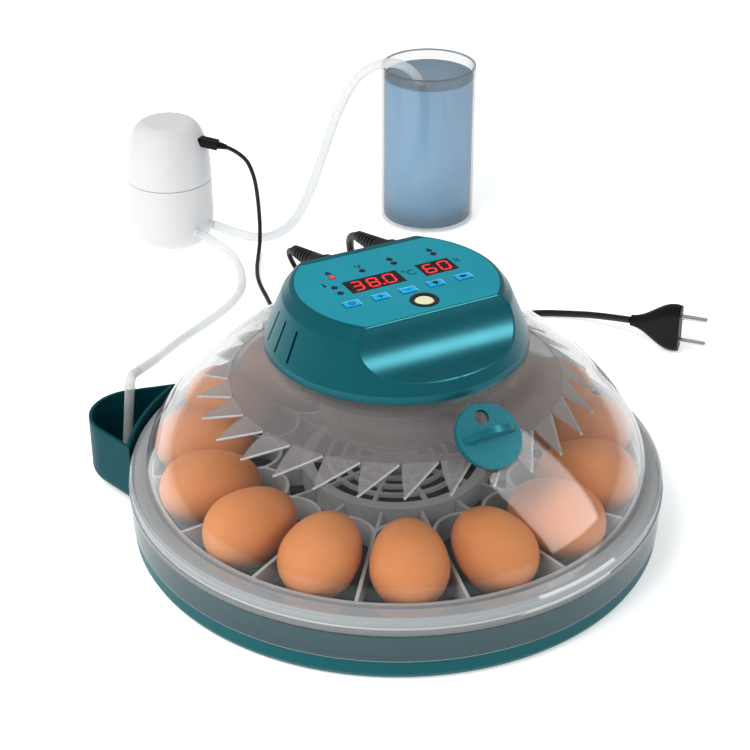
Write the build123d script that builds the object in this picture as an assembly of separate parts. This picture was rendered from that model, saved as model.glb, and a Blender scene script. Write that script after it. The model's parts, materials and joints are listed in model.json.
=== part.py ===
from build123d import *
import math
import os

# Countertop egg incubator with its water pump kit. Millimetres, +Z up.
# Origin: centre of the resting plane under the base. The front of the control head faces -Y.

# --- base -----------------------------------------------------------------------------------
BAND_R = 160.0          # coloured band round the foot of the base
BAND_TOP = 13.0
WALL_R = 157.5          # wall that the lid's skirt drops over
WALL_T = 2.5
WALL_TOP = 38.0
FLOOR_Z = 25.5          # the eggs roll on this floor
FLOOR_T = 2.5
FOOT_H = 1.2
SCREW_AT_R = 140.0
POOL_R = 58.0           # pan for the water in the middle
POOL_IN_R = 55.0
POOL_Z = 12.0
BOSS_R = 38.0           # raised motor housing in the pan
BOSS_TOP = 31.0
SHAFT_HOLE_R = 4.5
DUCT_HOLE_AT = 52.0     # where the water duct opens into the pan

# --- egg tray and eggs ----------------------------------------------------------------------
CELLS = 15
CELL_PITCH = 360.0 / CELLS
FIRST_EGG = 5.25        # direction of the first egg, degrees
TRAY_R = 149.0
TRAY_IN_R = 146.5
TRAY_TOP = 42.0
TRAY_BOTTOM = 26.5
WEB_T = 2.0             # thickness of the tray's dividers
JUNCTION_R = 81.3       # where a divider meets the two arches beside it
HUB_R = 57.0
HUB_IN_R = 50.0
HUB_BOTTOM = 27.5
EGG_L = 60.6
EGG_R = 22.2
EGG_WIDEST = 6.5        # from the egg's middle to its widest place, outwards
EGG_AT_R = 116.7

# --- lid ------------------------------------------------------------------------------------
SKIRT_R = 161.0
SKIRT_IN_R = 158.4
SHELL_T = 2.0
DOME_FOOT = (151.8, 42.1)
DOME_TOP = (82.0, 125.2)
GUIDE_R = 70.5          # air guide hanging inside the dome
RIM_R = 98.5
RIM_Z = 100.6
BLADES = 29
FIRST_BLADE = -116.5
VANE_TIP = (118.2, 0.0, 89.6)
VANE_T = 1.4
SHROUD_R = 45.0         # fan shroud
SHROUD_BOTTOM = 74.0
KNOB_R = 19.5
KNOB_AT = (1.5, -101.5, 111.2)
KNOB_AXIS = (0.0, -0.62, 0.7846)
VENT_OFFSET = 11.0      # vent hole, up the slope from the knob's centre
VENT_R = 4.5

# --- control head ---------------------------------------------------------------------------
HEAD_Z = DOME_TOP[1]
HEAD_TOP = 162.4
HEAD_WALL = 2.5
HEAD_SCREW_ANGLES = (40.0, 140.0, 270.0)
SCOOP_R = 29.5          # finger recess across the front
SCOOP_AT = (-72.5, 166.0)
LABEL_R = 59.3
LABEL_HALF = 42.0
LABEL_Z = 161.2         # underside of the label
LABEL_T = 1.0
BOARD_Z = 152.0
BOARD_T = 1.6
DISPLAYS = {"temperature_display": (-12.5, 3.9, 35.0, 15.2), "humidity_display": (28.7, 3.9, 21.8, 15.2)}
BUTTONS = {"button_set": -36.4, "button_plus": -18.1, "button_minus": -0.3, "button_lamp": 17.7, "button_mode": 36.1}
BUTTON_Y = -14.3
BUTTON_SIZE = (9.3, 6.0)
BUTTON_TOP = 162.7
BUTTON_TRAVEL = 0.8
SWITCH_TOP = 154.9
LAMPS = [(-31.7, 19.7), (-12.2, 19.7), (8.7, 19.7), (35.3, 19.7), (-36.1, 7.7), (-36.1, 0.3)]
LAMP_R = 1.9
CANDLER_AT = (2.0, -29.1)
CANDLER_R = 8.4
FIT = 0.3               # gap round a part that moves in a hole
BOOTS = {"usb_boot": -19.0, "mains_boot": 25.0}
BOOT_Y = 50.9
BOOT_Z = 151.0
BOOT_L = 46.0
BOOT_DIR = (0.0, 0.986, -0.165)

# --- pump, cup, basin and leads -------------------------------------------------------------
PUMP_AT = (28.5, 433.0)
PUMP_R = 33.5
PUMP_H = 100.0
PUMP_SEAM = 53.0
PORTS = (-76.0, -45.0)
PORT_Z = 15.0
PORT_END = 36.0
CUP_AT = (232.0, 374.0)
CUP_R = 37.7
CUP_H = 131.0
BASIN_DIR = 137.0
BASIN_IN_R = 162.6
BASIN_NOSE = (169.5, 29.0)
BASIN_CORNER = (156.0, 41.3)
BASIN_Z = 4.2
BASIN_TOP = 46.0
BASIN_WALL = 2.0
SPIGOT_R = 2.8
SPIGOT_Z = 7.0
OUTLET_D = 6.4
ELBOW_D = 6.2
INLET_D = 7.2
USB_D = 3.2
MAINS_D = 5.0
COIL_AT = (112.6, 206.3)
COIL_R = 27.5
COIL_W = 16.0
COIL_H = 11.0
PLUG_NECK = (254.6, 112.7, 18.1)
PLUG_DIR = (0.665, -0.747, 0.0)

TUBE_OUT = [
    (-111.4, 143.3, 58.0),
    (-92.0, 169.5, 46.5),
    (-70.5, 206.0, 29.0),
    (-47.5, 241.0, 14.0),
    (-17.0, 271.0, 4.8),
    (12.0, 289.0, 4.2),
    (35.0, 310.0, 4.2),
    (47.0, 337.0, 4.4),
    (51.0, 363.0, 8.0),
    (43.5, 382.0, 14.0),
    (37.2, 398.1, 15.0),
]
TUBE_IN = [
    (54.0, 407.5, 15.0),
    (67.0, 395.0, 10.5),
    (84.0, 386.5, 4.8),
    (104.0, 388.0, 4.3),
    (126.0, 402.0, 7.5),
    (141.5, 408.5, 27.0),
    (150.5, 406.5, 52.0),
    (157.0, 399.0, 83.0),
    (166.0, 391.0, 112.0),
    (172.5, 384.5, 127.0),
    (182.5, 376.5, 137.5),
    (195.5, 369.0, 141.0),
    (207.0, 362.5, 136.5),
    (215.5, 359.5, 125.0),
    (220.5, 359.0, 108.0),
    (221.0, 359.5, 84.0),
    (216.0, 366.0, 56.0),
    (208.0, 376.0, 29.0),
    (203.5, 387.0, 8.5),
]
USB_LEAD = [
    (66.0, 402.0, 82.0),
    (77.5, 395.0, 76.0),
    (83.0, 389.5, 60.0),
    (84.5, 387.0, 41.0),
    (84.0, 383.5, 22.0),
    (80.5, 376.5, 7.5),
    (73.0, 364.0, 1.8),
    (62.5, 344.0, 1.7),
    (54.0, 322.0, 1.7),
    (48.0, 289.0, 1.7),
    (40.0, 256.0, 1.7),
    (36.0, 228.0, 1.8),
    (30.0, 204.0, 7.5),
    (23.0, 181.0, 25.0),
    (16.0, 165.0, 49.0),
    (9.0, 150.0, 75.0),
    (2.0, 130.0, 98.0),
    (-6.5, 121.0, 116.0),
    (-14.0, 116.0, 129.5),
    (-18.3, 108.0, 139.6),
    (-19.0, 97.0, 143.3),
]
MAINS_DROP = [
    (25.0, 97.0, 143.3),
    (26.0, 109.0, 139.0),
    (30.0, 119.0, 127.0),
    (36.0, 125.5, 110.0),
    (42.0, 134.0, 92.0),
    (47.0, 152.0, 69.0),
    (50.0, 167.0, 47.0),
    (56.0, 175.5, 26.0),
    (67.0, 178.5, 9.0),
    (85.0, 175.0, 3.0),
    (100.0, 170.0, 2.7),
    (112.6, 168.0, 2.7),
]
MAINS_RUN = [
    (122.6, 169.3, 8.3),
    (144.0, 175.5, 5.0),
    (168.0, 180.5, 2.8),
    (192.0, 183.0, 2.7),
    (216.0, 178.5, 2.7),
    (236.0, 164.5, 3.4),
    (247.0, 142.0, 10.0),
    (254.6, 112.7, 18.1),
]


def polar(radius, angle, z=0.0):
    """Point at a radius and a direction in degrees."""
    return Vector(radius * math.cos(math.radians(angle)), radius * math.sin(math.radians(angle)), z)


def turned(*edges):
    """Solid of revolution about Z from profile edges in (radius, height)."""
    return revolve(Plane.XZ * make_face(edges), Axis.Z)


def lathe(*points):
    """Solid of revolution about Z from the corners of its profile."""
    return turned(Polyline(*points, close=True))


def rod(radius, low, high, at=(0.0, 0.0)):
    """Upright cylinder between two heights."""
    return Pos(at[0], at[1], (low + high) / 2) * Cylinder(radius, high - low)


def slab(size_x, size_y, low, high, at=(0.0, 0.0)):
    """Upright box between two heights."""
    return Pos(at[0], at[1], (low + high) / 2) * Box(size_x, size_y, high - low)


def radial_rod(radius, inner, outer, angle, z):
    """Cylinder that points away from the axis."""
    start = polar(inner, angle, z)
    plane = Plane(origin=start, z_dir=polar(1.0, angle))
    return plane * Cylinder(radius, outer - inner, align=(Align.CENTER, Align.CENTER, Align.MIN))


def around(shape, count, first=0.0):
    """Copies of a shape, evenly spaced round Z."""
    return [Rot(0, 0, first + 360.0 / count * i) * shape for i in range(count)]


def cord(name, points, diameter):
    """Tube along straight runs and tangent arcs, each arc as large as its two runs allow."""
    corners = [Vector(*p) for p in points]
    runs = [b - a for a, b in zip(corners, corners[1:])]
    radii = []
    for before, after in zip(runs, runs[1:]):
        half_turn = math.radians(before.get_angle(after)) / 2
        radii.append(0.45 * min(before.length, after.length) / math.tan(half_turn))
    path = FilletPolyline(*corners, radius=radii)
    tube = sweep(Plane(origin=path @ 0, z_dir=path % 0) * Circle(diameter / 2), path=path)
    swept = math.pi * diameter**2 / 4 * path.length
    print(name, "length", round(path.length), "least radius", round(min(radii), 1), "volume ratio", tube.volume / swept)
    print("   radii", [round(r) for r in radii])
    return tube


# --- base -----------------------------------------------------------------------------------
def base_shell():
    """Round shell with the egg floor, screw posts and a water port; its middle is open for the pan."""
    cavity_r = WALL_R - 2.6
    shell = lathe(
        (158.6, FOOT_H), (BAND_R, 4.0), (BAND_R, BAND_TOP), (WALL_R, BAND_TOP), (WALL_R, WALL_TOP),
        (WALL_R - WALL_T, WALL_TOP), (WALL_R - WALL_T, FLOOR_Z), (POOL_R, FLOOR_Z),
        (POOL_R, FLOOR_Z - FLOOR_T), (cavity_r, FLOOR_Z - FLOOR_T), (cavity_r, 6.0), (156.8, 5.0), (156.8, FOOT_H),
    )
    shell -= radial_rod(SPIGOT_R + 0.2, 150, 165, BASIN_DIR, SPIGOT_Z)
    shell += [rod(4.0, 3.4, FLOOR_Z - FLOOR_T, at) for at in screw_places()]
    return shell - [rod(1.2, 3.0, 8.5, at) for at in screw_places()]


def pool_pan():
    """Water pan in the middle of the base, with a raised housing for the turner motor."""
    pan = lathe(
        (POOL_R, FLOOR_Z), (POOL_IN_R, FLOOR_Z), (POOL_IN_R, POOL_Z), (BOSS_R, POOL_Z),
        (BOSS_R - 2, BOSS_TOP), (SHAFT_HOLE_R, BOSS_TOP), (SHAFT_HOLE_R, BOSS_TOP - FLOOR_T),
        (BOSS_R - 4.5, BOSS_TOP - FLOOR_T), (BOSS_R - 2.5, POOL_Z - FLOOR_T), (POOL_R, POOL_Z - FLOOR_T),
    )
    return pan - Rot(0, 0, BASIN_DIR) * rod(2.0, 5, POOL_Z + 1, (DUCT_HOLE_AT, 0))


def screw_places():
    """Places of the base's screws, clear of the feet and the water duct."""
    return [tuple(polar(SCREW_AT_R, 47 + 60 * i))[:2] for i in range(6)]


def base_cover():
    """Plate that closes the base from below."""
    plate = rod(156.4, FOOT_H, FOOT_H + 2.2)
    plate -= [rod(1.7, 0, 5, at) for at in screw_places()]
    plate -= [rod(3.2, 0, FOOT_H + 1.2, at) for at in screw_places()]
    cooling_slot = slab(16, 2, 0, 5, (62, 0))
    plate -= around(cooling_slot, 16)
    return plate


def base_screws():
    """Screws that hold the cover to the posts."""
    screws = []
    for at in screw_places():
        head = rod(3.0, FOOT_H + 0.2, FOOT_H + 1.2, at) - slab(4, 0.8, 0, FOOT_H + 0.7, at)
        screws.append(head + rod(1.15, FOOT_H + 1.2, 8.3, at))
    return Compound(screws)


def rubber_feet():
    """Four outer feet and a pad under the motor."""
    foot = rod(9.0, 0, FOOT_H, (126.0, 0))
    foot = chamfer(foot.edges().group_by(Axis.Z)[0], 0.4)
    return Compound([rod(16.0, 0, FOOT_H)] + around(foot, 4, 47.0))


def water_duct():
    """Channel under the floor from the basin's port to the pan."""
    duct = slab(102.8, 9, 3.6, POOL_Z - FLOOR_T, (100.4, 0)) - slab(96, 6, 5.0, 8.0, (99, 0))
    duct -= rod(2.0, 5.5, 12, (DUCT_HOLE_AT, 0))
    return Rot(0, 0, BASIN_DIR) * duct - radial_rod(2.0, 140, 165, BASIN_DIR, SPIGOT_Z)


def turner_motor():
    """Slow gear motor in the raised housing; its bore takes the tray's shaft."""
    can = rod(24.5, 9.0, 25.0) - rod(3.58, 12.0, 26.0)
    can += slab(62, 9, 25.0, 26.4) - rod(3.58, 24.0, 27.0)
    return can - [rod(1.6, 24, 28, (x, 0)) for x in (-27.5, 27.5)]


def lid_seal():
    """Soft ring on top of the base wall, under the lid's ledge."""
    return lathe((155.2, WALL_TOP), (157.4, WALL_TOP), (157.4, 39.4), (156.3, 39.9), (155.2, 39.4))


# --- egg tray and eggs ----------------------------------------------------------------------
def tray_ring():
    """Outer wall of the turning tray."""
    return lathe((TRAY_IN_R, TRAY_BOTTOM), (TRAY_R, TRAY_BOTTOM), (TRAY_R, TRAY_TOP), (TRAY_IN_R, TRAY_TOP))


def tray_dividers():
    """Straight walls between the cells."""
    middle = (JUNCTION_R + 1 + 148) / 2
    wall = slab(148 - JUNCTION_R - 1, WEB_T, TRAY_BOTTOM, TRAY_TOP, (middle, 0))
    wall -= tray_ring()
    return Compound(around(wall.solid(), CELLS, FIRST_EGG + CELL_PITCH / 2))


def cell_arches():
    """Wavy wall that closes the inner end of every cell, with a short web to the hub."""
    radius = 20.0
    half_chord = JUNCTION_R * math.sin(math.radians(CELL_PITCH / 2))
    centre = JUNCTION_R * math.cos(math.radians(CELL_PITCH / 2)) + math.sqrt(radius**2 - half_chord**2)
    arch = rod(radius + WEB_T / 2, TRAY_BOTTOM, TRAY_TOP, (centre, 0)) - rod(radius - WEB_T / 2, 0, 60, (centre, 0))
    chord = centre - math.sqrt(radius**2 - half_chord**2)
    arch &= slab(40, 2 * half_chord + WEB_T, TRAY_BOTTOM, TRAY_TOP, (chord - 19.4, 0))
    web = slab(JUNCTION_R - HUB_R + 1, WEB_T, HUB_BOTTOM, TRAY_TOP - 3, ((JUNCTION_R + HUB_R + 1) / 2, 0))
    knuckle = rod(WEB_T * 0.75, TRAY_BOTTOM, TRAY_TOP, (JUNCTION_R, 0))
    wall = Part() + around(arch, CELLS, FIRST_EGG) + around(web + knuckle, CELLS, FIRST_EGG + CELL_PITCH / 2)
    return wall - tray_dividers() - rod(HUB_R, 0, 60)


def tray_hub():
    """Upright ring round the grille, with a flat rim on top."""
    return lathe(
        (HUB_R - WEB_T, HUB_BOTTOM), (HUB_R, HUB_BOTTOM), (HUB_R, TRAY_TOP), (HUB_IN_R, TRAY_TOP),
        (HUB_IN_R, TRAY_TOP - 2.5), (HUB_R - WEB_T, TRAY_TOP - 2.5),
    )


def hub_grille():
    """Open rings and spokes over the water pool."""
    low = TRAY_TOP - 2.5
    rings = [rod(r + 1, low, TRAY_TOP) - rod(r - 1, 0, 60) for r in (41.0, 32.0, 23.0)]
    spoke = slab(HUB_IN_R - 12, 2.4, low, TRAY_TOP, ((HUB_IN_R + 12) / 2, 0))
    spoke &= rod(HUB_IN_R, 0, 60)
    grille = Part() + rings + around(spoke, 10, 11.0)
    return grille - rod(14.0, 0, 60)


def tray_drive():
    """Hub disc and shaft that drop into the turner motor."""
    hub = rod(14.0, TRAY_TOP - 2.5, TRAY_TOP) + rod(8.0, BOSS_TOP + 1, TRAY_TOP - 2.5)
    hub += rod(3.5, 14.0, BOSS_TOP + 1)
    return chamfer(hub.edges().group_by(Axis.Z)[-1], 0.6)


def egg():
    """One egg lying along +X, its fuller end outwards, just above the floor."""
    half = EGG_L / 2
    outer = EllipticalCenterArc((EGG_WIDEST, 0), half - EGG_WIDEST, EGG_R, 0, arc_size=90)
    inner = EllipticalCenterArc((EGG_WIDEST, 0), half + EGG_WIDEST, EGG_R, 90, arc_size=90)
    body = revolve(make_face([outer, inner, Line((-half, 0), (half, 0))]), Axis.X)
    return Pos(EGG_AT_R, 0, FLOOR_Z + FIT + EGG_R) * body


# --- lid ------------------------------------------------------------------------------------
def knob_plane():
    """Plane of the vent: origin at the knob's centre on the dome, X across, Y up the slope."""
    return Plane(origin=KNOB_AT, x_dir=(1, 0, 0), z_dir=KNOB_AXIS)


def dome_shell():
    """Clear lid: skirt, ledge and dome with a flat seat for the vent knob."""
    foot_r, foot_z = DOME_FOOT
    top_r, top_z = DOME_TOP
    t = SHELL_T
    shell = turned(
        Polyline(
            (top_r - 1, top_z - t), (66.0, top_z - t), (66.0, top_z), (top_r, top_z),
        ),
        Bezier((top_r, top_z), (104.6, 112.3), (foot_r, 72.1), (foot_r, foot_z)),
        Polyline(
            (foot_r, foot_z), (159.6, foot_z), (SKIRT_R, 40.6), (SKIRT_R, 35.4), (SKIRT_R + 0.9, 34.6),
            (SKIRT_R + 0.9, 31.6), (SKIRT_R, 30.8), (SKIRT_R, BAND_TOP + 0.4), (SKIRT_IN_R, BAND_TOP + 0.4),
            (SKIRT_IN_R, 40.1), (foot_r - t, 40.1), (foot_r - t, foot_z),
        ),
        Bezier((foot_r - t, foot_z), (foot_r - t, 71.3), (103.5, 110.5), (top_r - 1, top_z - t)),
    )
    seat = knob_plane() * Pos(0, 0, -0.6) * Cylinder(KNOB_R + 1, 2.2)
    bore = knob_plane() * Cylinder(3.0, 30)
    vent = knob_plane() * Pos(0, VENT_OFFSET, 0) * Cylinder(VENT_R, 30)
    return shell + seat - bore - vent


def blade():
    """One vane: a flap from the air guide's rim, with a stiff lower edge that runs out to a tip."""
    pitch = 360.0 / BLADES
    tip = polar(*VANE_TIP)
    low_root = polar(RIM_R - 2, 0, RIM_Z)
    high_root = polar(RIM_R - 2, pitch - 0.6, RIM_Z)
    edge = high_root - tip
    top = [low_root, high_root, tip + edge * 0.3]
    bottom = [p - Vector(0, 0, VANE_T) for p in top]
    faces = [Face(Wire.make_polygon(layer)) for layer in (top, bottom)]
    for i in range(3):
        j = (i + 1) % 3
        faces.append(Face(Wire.make_polygon([top[i], top[j], bottom[j], bottom[i]])))
    upright = edge.cross(Vector(0, 0, 1)).cross(edge)
    rail = Box(edge.length, 1.6, 2.8, align=(Align.MIN, Align.CENTER, Align.MAX))
    return Solid(Shell(faces)) + Plane(origin=tip, x_dir=edge, z_dir=upright) * rail


def guide_vanes():
    """Ring of vanes on the air guide's rim."""
    vane = blade() - rod(RIM_R, 80, 110)
    return Compound(around(vane.solid(), BLADES, FIRST_BLADE))


def air_guide():
    """Clear bell round the fan shroud that spreads the warm air through the vanes."""
    return turned(
        Line((GUIDE_R, 123.2), (GUIDE_R, 114)),
        Bezier((GUIDE_R, 114), (GUIDE_R, 104), (80, 101.6), (RIM_R, RIM_Z)),
        Line((RIM_R, RIM_Z), (RIM_R, RIM_Z - 1.5)),
        Bezier((RIM_R, RIM_Z - 1.5), (79.5, 100.0), (GUIDE_R - 1.5, 102.5), (GUIDE_R - 1.5, 114)),
        Polyline((GUIDE_R - 1.5, 114), (GUIDE_R - 1.5, 123.2), (GUIDE_R, 123.2)),
    )


def fan_shroud():
    """Clear tube round the fan, with a slotted flange that closes the dome's top opening."""
    tube = lathe(
        (12.0, 123.2), (12.0, HEAD_Z), (65.8, HEAD_Z), (65.8, 123.2), (SHROUD_R, 123.2),
        (SHROUD_R, SHROUD_BOTTOM), (SHROUD_R - 1.8, SHROUD_BOTTOM), (SHROUD_R - 1.8, 123.2),
    )
    window = slab(8, 15, 111.0, 121.0, (SHROUD_R, 0))
    screw_holes = [rod(1.3, 120, 130, tuple(polar(60.0, a))[:2]) for a in HEAD_SCREW_ANGLES]
    return tube - around(window, 12) - screw_holes


def fan_guard():
    """Spoked guard under the fan with a round boss and an upright pin."""
    outer = SHROUD_R - 1.8
    guard = rod(outer, SHROUD_BOTTOM, SHROUD_BOTTOM + 1.8) - rod(outer - 2, 0, 200)
    guard += rod(28.0, SHROUD_BOTTOM, SHROUD_BOTTOM + 1.8) - rod(26.4, 0, 200)
    spoke = slab(outer - 9, 1.8, SHROUD_BOTTOM, SHROUD_BOTTOM + 1.8, ((outer + 9) / 2, 0)) & rod(outer, 0, 200)
    guard += around(spoke, 6)
    guard += rod(11.5, SHROUD_BOTTOM, SHROUD_BOTTOM + 1.8) + rod(1.3, SHROUD_BOTTOM, 84.0)
    return guard


def fan_rotor():
    """Seven pitched blades on a hub, with the shaft that runs up into the motor."""
    hub = rod(9.0, 92.0, 106.0) + rod(1.5, 106.0, 130.0)
    vane = Pos(23.0, 0, 99.0) * (Rot(38, 0, 0) * Box(31, 17, 1.4))
    vane &= rod(38.0, 80, 120)
    return hub + around(vane, 7)


def heater_ring():
    """Ring heater between shroud and air guide, hung from three posts."""
    ring = lathe((52.0, 106.0), (61.0, 106.0), (61.0, 110.0), (52.0, 110.0))
    return ring + around(rod(1.5, 110.0, 123.2, (56.5, 0)), 3, 100.0)


def sensor_probe():
    """Temperature and humidity probe on the side of the shroud."""
    probe = rod(3.2, 78.0, 92.0, (SHROUD_R + 3.2, 0)) + rod(1.2, 92.0, 123.2, (SHROUD_R + 3.2, 0))
    return Rot(0, 0, 62.0) * probe


def vent_knob():
    """Turning disc with a half-moon grip and one off-centre hole; its pin snaps through the dome."""
    disc = Pos(0, 0, 2.3) * Cylinder(KNOB_R, 3.0)
    disc = chamfer(disc.edges().group_by(Axis.Z)[-1], 0.8)
    grip_face = make_face([Line((-16.5, 0), (16.5, 0)), ThreePointArc((16.5, 0), (0, 7.6), (-16.5, 0))])
    grip = extrude(Plane(origin=(0, 2.0, 3.8), x_dir=(1, 0, 0), z_dir=(0, -1, 0)) * grip_face, 4.0)
    knob = disc + grip - Pos(0, VENT_OFFSET, 2.3) * Cylinder(VENT_R - 0.2, 8)
    knob += Pos(0, 0, -1.1) * Cylinder(2.92, 3.8)
    knob += Pos(0, 0, -4.2) * Cylinder(4.2, 2.4)
    return knob_plane() * knob


# --- control head ---------------------------------------------------------------------------
def head_form(inset=0.0):
    """Outside of the control head, or the same form moved inwards by inset."""
    form = lathe(
        (0, HEAD_Z), (78.0 - inset, HEAD_Z), (77.2 - inset, 129.5), (66.6 - inset, 155.0),
        (60.8 - inset, HEAD_TOP - 1.5 * inset), (0, HEAD_TOP - 1.5 * inset),
    )
    if inset == 0.0:
        form = fillet(form.edges().filter_by(GeomType.CIRCLE).filter_by(lambda e: 60 < e.radius < 67), 5.0)
    back = Plane(origin=(0, 46.0 - inset, HEAD_TOP), x_dir=(1, 0, 0), z_dir=(0, 0.919, 0.395))
    form -= back * Pos(0, 0, 40) * Box(200, 200, 80)
    form -= Pos(0, SCOOP_AT[0], SCOOP_AT[1]) * Rot(0, 90, 0) * Cylinder(SCOOP_R + inset, 200)
    if inset == 0.0:
        form = fillet(form.faces().filter_by(GeomType.CYLINDER)[0].edges(), 2.0)
    return form


def label_form(low, high, gap=0.0):
    """The label's outline: a disc cut off at the front and the back."""
    return rod(LABEL_R + gap, low, high) & slab(200, 2 * (LABEL_HALF + gap), low, high)


def panel_cuts(low, high, gap=0.0):
    """Openings through the top for the displays, lamps, candler and buttons."""
    cuts = [slab(w + gap, d + gap, low, high, (x, y)) for x, y, w, d in DISPLAYS.values()]
    cuts += [rod(LAMP_R + gap / 2, low, high, at) for at in LAMPS]
    cuts.append(rod(CANDLER_R + gap / 2, low, high, CANDLER_AT))
    cuts += [slab(BUTTON_SIZE[0] + 2 * FIT, BUTTON_SIZE[1] + 2 * FIT, low, high, (x, BUTTON_Y)) for x in BUTTONS.values()]
    return cuts


def head_housing():
    """Coloured cover of the control head with a finger recess, side vents and a label recess."""
    cavity = head_form(HEAD_WALL) - slab(300, 300, 158.7, 200)
    shell = head_form() - cavity
    shell -= label_form(LABEL_Z, 170, 0.15)
    shell -= panel_cuts(155, 170)
    slot = slab(16, 1.9, 131.7, 150.0, (72, 0))
    for angle in (165.0, 176.0, -172.5, 15.0, 4.0, -7.5):
        shell -= Rot(0, 0, angle) * slot
    for x in BOOTS.values():
        shell -= boot_plane(x) * Cylinder(4.0, 12)
    shell += [rod(2.6, BOARD_Z + BOARD_T, 158.7, at) for at in board_posts()]
    for angle in HEAD_SCREW_ANGLES:
        shell += Rot(0, 0, angle) * (rod(3.6, 127.2, 136.0, (60.0, 0)) - rod(1.2, 120, 135, (60.0, 0)))
        shell += Rot(0, 0, angle) * (slab(12, 2.0, 127.2, 136.0, (69.0, 0)) & rod(74.8, 120, 140))
    return shell


def board_posts():
    """Places of the four pillars that carry the circuit board."""
    return [(-46.0, 20.0), (46.0, 20.0), (-46.0, -24.0), (46.0, -24.0)]


def head_base():
    """Plate that closes the control head from below and carries the fan motor."""
    plate = rod(75.2, HEAD_Z, HEAD_Z + 2.0) & (head_form(HEAD_WALL + 0.1) + rod(52.0, HEAD_Z, 130))
    plate -= rod(1.56, 120, 130)
    for angle in HEAD_SCREW_ANGLES:
        plate -= Rot(0, 0, angle) * rod(1.5, 120, 130, (60.0, 0))
    return plate


def head_screws():
    """Screws up through the flange and the plate into the housing."""
    screw = rod(1.18, 121.6, 134.0, (60.0, 0)) + rod(2.8, 121.6, 123.2, (60.0, 0))
    return Compound([Rot(0, 0, a) * screw for a in HEAD_SCREW_ANGLES])


def fan_motor():
    """Small motor on the head's plate; its bore takes the rotor's shaft."""
    can = rod(13.0, HEAD_Z + 2.0, 146.0) - rod(1.56, 120, 131.0)
    return fillet(can.edges().group_by(Axis.Z)[-1], 1.5)


def control_board():
    """Circuit board under the panel, with its switches, a transformer and a relay."""
    board = rod(53.0, BOARD_Z, BOARD_Z + BOARD_T) & slab(200, 74, 150, 160, (0, 0))
    board += [slab(6, 6, BOARD_Z + BOARD_T, SWITCH_TOP, (x, BUTTON_Y)) for x in BUTTONS.values()]
    board += slab(16, 12, 147.0, BOARD_Z, (30, 22)) + slab(12, 10, 146.5, BOARD_Z, (-30, 24))
    return board


def label_plate():
    """Printed panel on top of the head."""
    return label_form(LABEL_Z, LABEL_Z + LABEL_T) - panel_cuts(160, 165, 0.2)


def display(x, y, width, depth):
    """Numeric display block that stands on the board and shows through the label."""
    return slab(width, depth, BOARD_Z + BOARD_T, LABEL_Z + LABEL_T - 0.1, (x, y))


def indicator_lamps():
    """Round lamps beside and above the displays."""
    return Compound([rod(LAMP_R, BOARD_Z + BOARD_T, LABEL_Z + LABEL_T + 0.2, at) for at in LAMPS])


def candler_ring():
    """Black collar round the egg-candling lamp."""
    ring = rod(CANDLER_R, 156.0, LABEL_Z + LABEL_T + 0.6, CANDLER_AT) - rod(6.0, 150, 170, CANDLER_AT)
    return chamfer(ring.edges().group_by(Axis.Z)[-1], 0.4)


def candler_lens():
    """Pale dome of the candling lamp."""
    body = rod(5.95, BOARD_Z + BOARD_T, LABEL_Z + LABEL_T, CANDLER_AT)
    return fillet(body.edges().group_by(Axis.Z)[-1], 1.4)


def push_button(x):
    """Rectangular key with a collar that keeps it under the panel."""
    cap = slab(*BUTTON_SIZE, 156.9, BUTTON_TOP, (x, BUTTON_Y))
    cap = fillet(cap.edges().filter_by(Axis.Z), 1.0)
    cap = chamfer(cap.edges().group_by(Axis.Z)[-1], 0.35)
    cap += slab(BUTTON_SIZE[0] + 2.4, BUTTON_SIZE[1] + 2.4, 156.9, 158.4, (x, BUTTON_Y))
    return cap + rod(1.6, SWITCH_TOP + BUTTON_TRAVEL + 0.1, 156.9, (x, BUTTON_Y))


def boot_plane(x):
    """Plane at the root of a strain relief, looking out of the head's back."""
    return Plane(origin=(x, BOOT_Y, BOOT_Z), x_dir=(1, 0, 0), z_dir=BOOT_DIR)


def strain_relief(x):
    """Tapered, ribbed boot at the back of the head."""
    taper = Pos(0, 0, BOOT_L / 2) * Cone(7.2, 3.6, BOOT_L)
    grooves = [Pos(0, 0, 20 + 4.4 * i) * (Cylinder(12, 1.6) - Cylinder(4.9 - 0.36 * i, 3)) for i in range(5)]
    boot = taper + Pos(0, 0, 0.5) * Cylinder(8.4, 5.0) - grooves
    return boot_plane(x) * boot - head_form()


# --- water basin, cup and pump --------------------------------------------------------------
def basin_outline(inset):
    """Plan of the basin in its own frame, X away from the incubator's axis."""
    centre, radius = BASIN_NOSE
    corner_x, corner_y = BASIN_CORNER
    tangent = (centre + radius * math.cos(math.radians(60)), radius * math.sin(math.radians(60)))
    mirrored = (tangent[0], -tangent[1])
    plan = make_face([
        Line((corner_x, -corner_y), mirrored),
        ThreePointArc(mirrored, (centre + radius, 0), tangent),
        Polyline(tangent, (corner_x, corner_y), (140, corner_y), (140, -corner_y), (corner_x, -corner_y)),
    ])
    plan -= Circle(BASIN_IN_R)
    return offset(plan, -inset, kind=Kind.INTERSECTION) if inset else plan


def water_basin():
    """Open basin beside the base with a spigot into the base's water port."""
    outer = extrude(Pos(0, 0, BASIN_Z) * basin_outline(0), BASIN_TOP - BASIN_Z)
    outer = fillet(outer.edges().group_by(Axis.Z)[0], 8.0)
    inner = extrude(Pos(0, 0, BASIN_Z + BASIN_WALL) * basin_outline(BASIN_WALL), BASIN_TOP)
    inner = fillet(inner.edges().group_by(Axis.Z)[0], 6.0)
    spigot = radial_rod(SPIGOT_R, 152.0, 168.0, 0, SPIGOT_Z)
    basin = outer - inner + (spigot - inner) - radial_rod(1.6, 140.0, 169.0, 0, SPIGOT_Z)
    return Rot(0, 0, BASIN_DIR) * basin


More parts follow.
